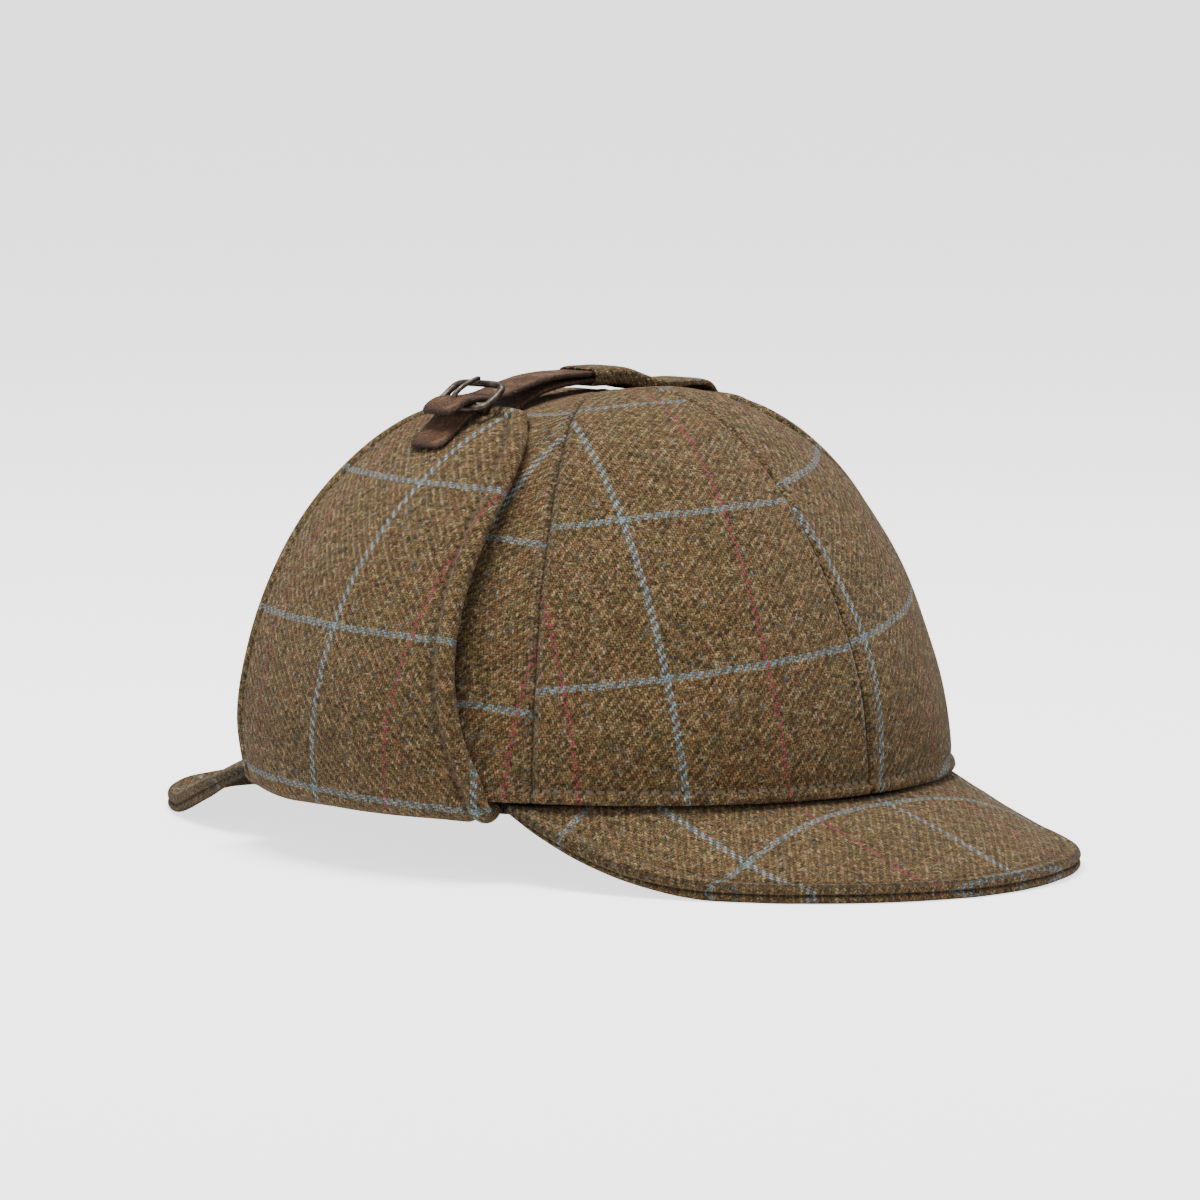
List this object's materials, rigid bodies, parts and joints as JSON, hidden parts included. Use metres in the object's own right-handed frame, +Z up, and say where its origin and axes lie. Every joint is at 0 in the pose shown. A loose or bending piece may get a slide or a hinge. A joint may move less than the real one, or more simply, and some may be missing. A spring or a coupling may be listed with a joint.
{
  "type": "deerstalker hat",
  "caption": "Tweed deerstalker hat with front and back peaks, ear flaps turned up and buckled over the crown by a leather strap, mesh lining and ribbed sweatband.",
  "frame": {"origin": "on the surface that the hat rests on, under the middle of its bounding box, with the peaks' edges on the surface", "axes": "+Z up through the crown, -Y towards the front peak, +X towards the wearer's left"},
  "size_m": [0.1948, 0.3066, 0.1317],
  "materials": {
    "tweed": "woven brown and olive wool twill with a pale blue windowpane check and faint red and orange lines",
    "mesh_lining": "black polyester mesh with small oval holes",
    "ribbed_band": "black ribbed grosgrain",
    "label_cloth": "pale grey woven ribbon, blank",
    "strap_leather": "reddish brown, satin, darker at the edges",
    "buckle_metal": "dark antique bronze, worn brighter along the edges"
  },
  "bodies": {
    "root": {"crown_panel_1": "tweed", "crown_panel_2": "tweed", "crown_panel_3": "tweed", "crown_panel_4": "tweed", "crown_panel_5": "tweed", "crown_panel_6": "tweed", "front_peak": "tweed", "back_peak": "tweed", "ear_flap_right": "tweed", "ear_flap_left": "tweed", "strap_tab": "tweed", "lining": "mesh_lining", "sweatband": "ribbed_band", "label": "label_cloth", "strap": "strap_leather", "strap_lower_layer": "strap_leather", "chape": "strap_leather", "buckle_frame": "buckle_metal", "buckle_prong": "buckle_metal"}
  },
  "joints": []
}
